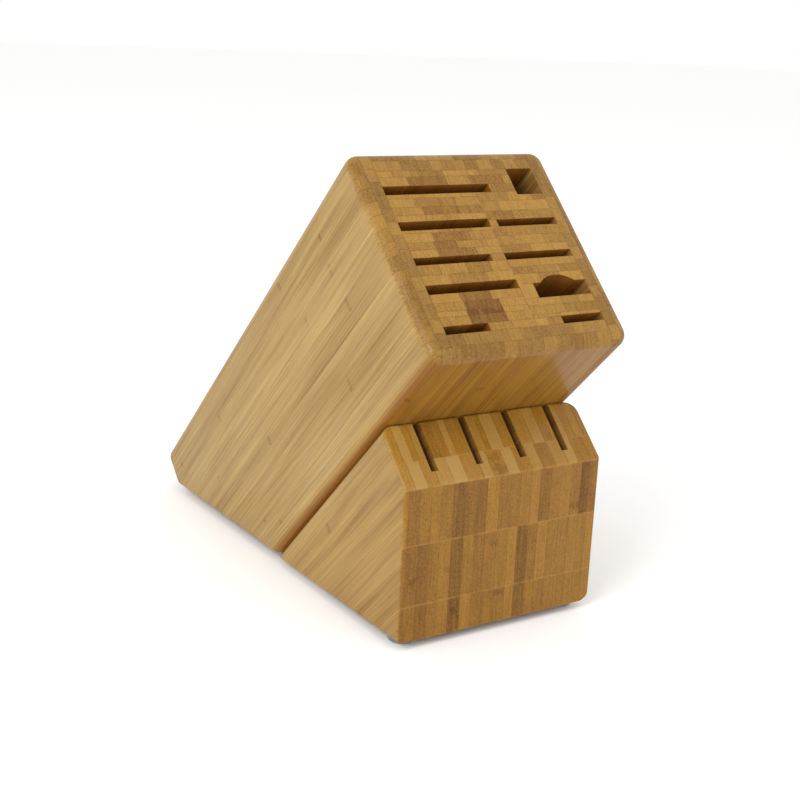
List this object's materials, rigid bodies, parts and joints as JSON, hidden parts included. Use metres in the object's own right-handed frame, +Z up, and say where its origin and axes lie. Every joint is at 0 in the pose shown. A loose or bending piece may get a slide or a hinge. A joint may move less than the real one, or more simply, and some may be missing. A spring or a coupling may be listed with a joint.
{
  "type": "knife block",
  "caption": "Leaning laminated bamboo knife block with slots for blades, a steel and shears, over a low slotted block for table knives, on round bumper feet.",
  "frame": {"origin": "bottom centre of the block's bounding box, on the table that the feet stand on", "axes": "+X to the right across the block, -Y towards the front where the slots face the user, +Z up"},
  "size_m": [0.1316, 0.3204, 0.2536],
  "materials": {
    "bamboo_panel": "sanded and oiled long-grain bamboo",
    "bamboo_core": "sanded and oiled end-grain bamboo",
    "bamboo_front": "sanded and oiled bamboo",
    "clear_bumper": "clear polyurethane, glossy"
  },
  "bodies": {
    "root": {"left_panel_ply_1": "bamboo_panel", "left_panel_ply_2": "bamboo_panel", "right_panel_ply_1": "bamboo_panel", "right_panel_ply_2": "bamboo_panel", "underside_ply_1": "bamboo_panel", "underside_ply_2": "bamboo_panel", "back_ply_1": "bamboo_panel", "back_ply_2": "bamboo_panel", "left_board_1": "bamboo_core", "left_board_2": "bamboo_core", "left_board_3": "bamboo_core", "left_board_4": "bamboo_core", "left_spacer_1": "bamboo_core", "left_spacer_3": "bamboo_core", "right_board_1": "bamboo_core", "right_board_2": "bamboo_core", "right_board_3": "bamboo_core", "right_board_4": "bamboo_core", "right_spacer_1": "bamboo_core", "right_spacer_2": "bamboo_core", "right_spacer_4": "bamboo_core", "top_spacer": "bamboo_core", "top_board": "bamboo_core", "front_rib_1": "bamboo_front", "front_rib_2": "bamboo_front", "front_rib_3": "bamboo_front", "front_rib_4": "bamboo_front", "front_rib_5": "bamboo_front", "front_kerf_board": "bamboo_front", "front_lower_board": "bamboo_front", "front_toe_board": "bamboo_front", "foot_front_left": "clear_bumper", "foot_front_right": "clear_bumper", "foot_rear_left": "clear_bumper", "foot_rear_right": "clear_bumper"}
  },
  "joints": []
}
